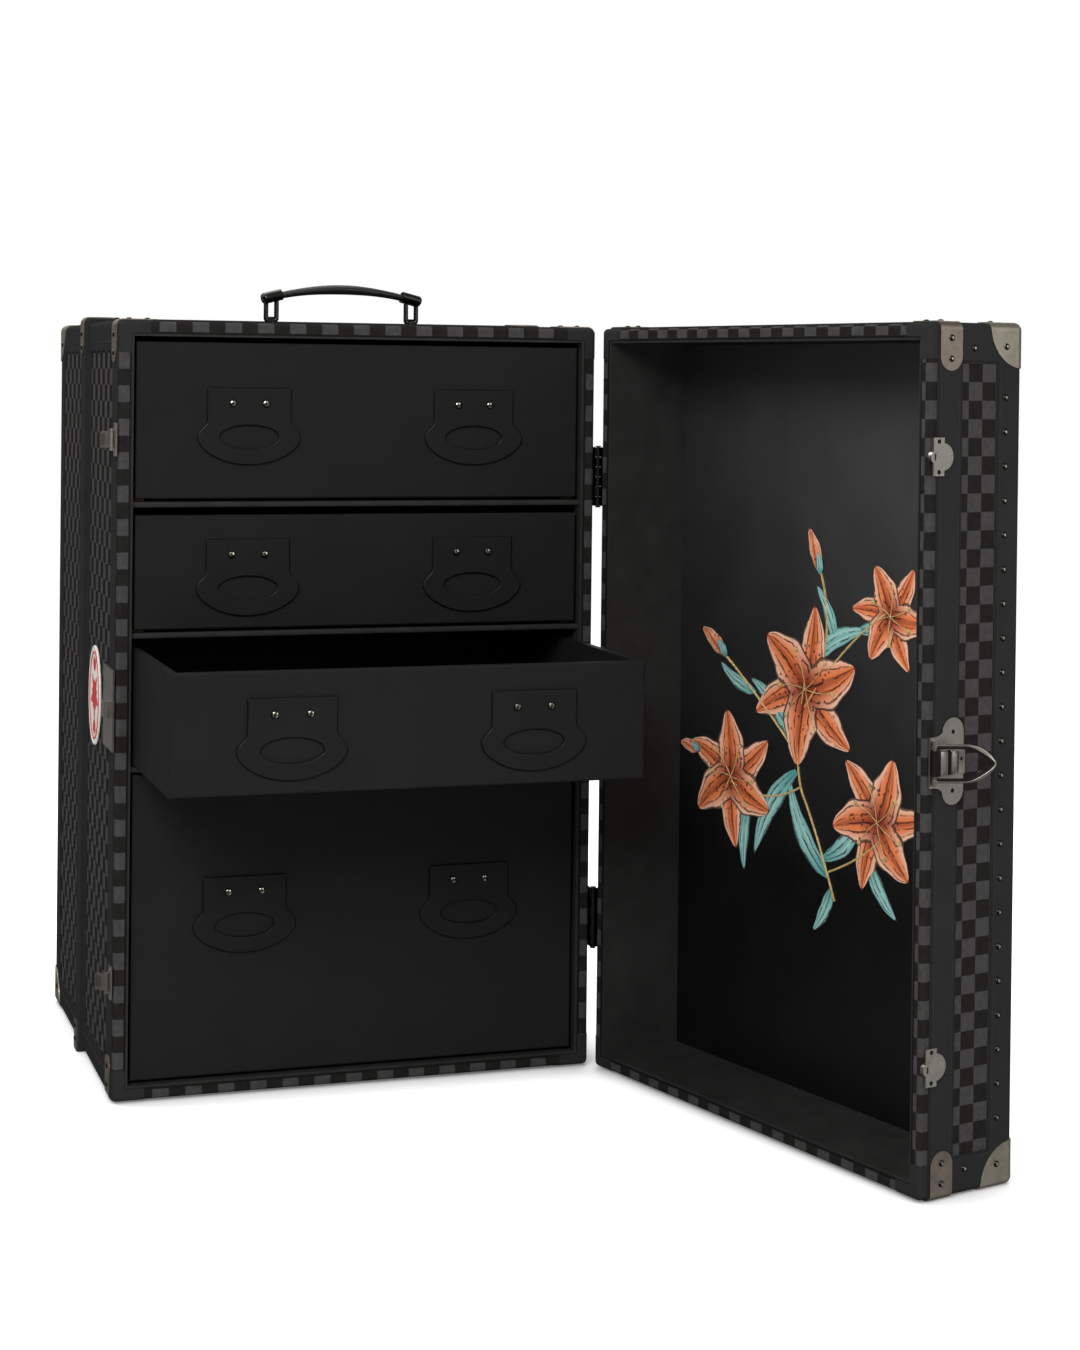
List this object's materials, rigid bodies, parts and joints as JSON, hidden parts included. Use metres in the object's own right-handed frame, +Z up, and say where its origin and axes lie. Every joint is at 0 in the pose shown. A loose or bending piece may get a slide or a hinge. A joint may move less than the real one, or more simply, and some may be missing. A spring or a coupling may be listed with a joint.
{
  "type": "wardrobe trunk",
  "caption": "Upright wardrobe trunk with a hollow hinged door, stacked drawers, leather-bound edges, steel corners, side latches and a folding top handle.",
  "frame": {"origin": "on the floor under the middle of the case, at the underside of the bumper band", "axes": "+Z up, drawers and seam face -Y, door hinge on the +X side"},
  "size_m": [0.7828, 0.9635, 0.8487],
  "materials": {
    "canvas": "poplar boards under coated canvas in a two-tone dark checker, low sheen",
    "leather": "near-black smooth leather edge trim, satin, stitched",
    "drawer_leather": "thin boards under fine-grained black leather",
    "pale_leather": "plain pale leather patch with a dark edge",
    "lining": "dark glued fabric lining, faint weave",
    "panel": "smooth black coated panel with a small printed flower design",
    "antique_steel": "champagne-grey plated steel, satin",
    "bright_steel": "polished pale nickel-bronze plating",
    "bronze_rivets": "dark bronze, polished crowns",
    "runner_wood": "waxed hardwood"
  },
  "bodies": {
    "case": {"case_frame": "canvas", "case_back": "canvas", "case_lining": "lining", "case_edge_leather": "leather", "bumper_band": "leather", "base_glides": "bright_steel", "bumper_flanges": "leather", "case_corner_straps": "antique_steel", "case_corner_caps": "antique_steel", "case_rivets": "bronze_rivets", "bumper_straps": "antique_steel", "bumper_rivets": "bronze_rivets", "divider_1": "lining", "divider_2": "lining", "divider_3": "lining", "drawer_runners": "runner_wood", "hinge_leaves_case": "antique_steel", "hinge_pins": "bright_steel", "latch_low_bracket": "bright_steel", "latch_high_bracket": "bright_steel", "lock_strike": "bright_steel", "side_patch": "pale_leather", "handle_plates": "antique_steel"},
    "latch_low": {"latch_low_lever": "bright_steel"},
    "latch_high": {"latch_high_lever": "bright_steel"},
    "handle": {"handle_rings": "antique_steel", "handle_grip": "leather", "handle_end_caps": "leather"},
    "door": {"door_frame": "canvas", "door_face": "canvas", "door_lining": "lining", "door_panel": "panel", "door_edge_leather": "leather", "door_corner_straps": "antique_steel", "door_corner_caps": "antique_steel", "door_rivets": "bronze_rivets", "hinge_leaves_door": "antique_steel", "latch_low_catch": "bright_steel", "latch_high_catch": "bright_steel", "lock_plate": "bright_steel"},
    "lock_lever": {"lock_lever": "bright_steel"},
    "lock_bail": {"lock_bail": "bright_steel"},
    "drawer_1": {"drawer_1_tray": "drawer_leather", "drawer_1_face": "drawer_leather", "drawer_1_pulls": "leather", "drawer_1_pull_screws": "bright_steel"},
    "drawer_2": {"drawer_2_tray": "drawer_leather", "drawer_2_face": "drawer_leather", "drawer_2_pulls": "leather", "drawer_2_pull_screws": "bright_steel"},
    "drawer_3": {"drawer_3_tray": "drawer_leather", "drawer_3_face": "drawer_leather", "drawer_3_pulls": "leather", "drawer_3_pull_screws": "bright_steel"},
    "drawer_4": {"drawer_4_tray": "drawer_leather", "drawer_4_face": "drawer_leather", "drawer_4_pulls": "leather", "drawer_4_pull_screws": "bright_steel"}
  },
  "joints": [
    {"name": "door_hinge", "type": "hinge", "parent": "case", "child": "door", "pos_m": [0.2626, -0.21875, 0.403], "axis": [0, 0, 1], "range_deg": [-105, 70]},
    {"name": "drawer_1_slide", "type": "slide", "parent": "case", "child": "drawer_1", "axis": [0, -1, 0], "range_m": [0, 0.35]},
    {"name": "drawer_2_slide", "type": "slide", "parent": "case", "child": "drawer_2", "axis": [0, -1, 0], "range_m": [0, 0.35]},
    {"name": "drawer_3_slide", "type": "slide", "parent": "case", "child": "drawer_3", "axis": [0, -1, 0], "range_m": [-0.2145, 0.14317]},
    {"name": "drawer_4_slide", "type": "slide", "parent": "case", "child": "drawer_4", "axis": [0, -1, 0], "range_m": [0, 0.35]},
    {"name": "handle_swing", "type": "hinge", "parent": "case", "child": "handle", "pos_m": [0, -0.115, 0.8082], "axis": [1, 0, 0], "range_deg": [-75, 75]},
    {"name": "latch_low_lever_turn", "type": "hinge", "parent": "case", "child": "latch_low", "pos_m": [-0.2642, -0.209, 0.1245], "axis": [0, 0, 1], "range_deg": [-30, 80]},
    {"name": "latch_high_lever_turn", "type": "hinge", "parent": "case", "child": "latch_high", "pos_m": [-0.2642, -0.209, 0.6815], "axis": [0, 0, 1], "range_deg": [-30, 80]},
    {"name": "lock_lever_turn", "type": "hinge", "parent": "door", "child": "lock_lever", "pos_m": [0.40547, -0.72585, 0.403], "axis": [0, 0, -1], "range_deg": [0, 95]},
    {"name": "lock_bail_turn", "type": "hinge", "parent": "door", "child": "lock_bail", "pos_m": [0.40547, -0.72585, 0.403], "axis": [0, 0, -1], "range_deg": [-30, 145]}
  ],
  "couplings": [
    {"joint": "drawer_3_slide", "follows": "door_hinge", "m_per_rad": 0.11677}
  ]
}
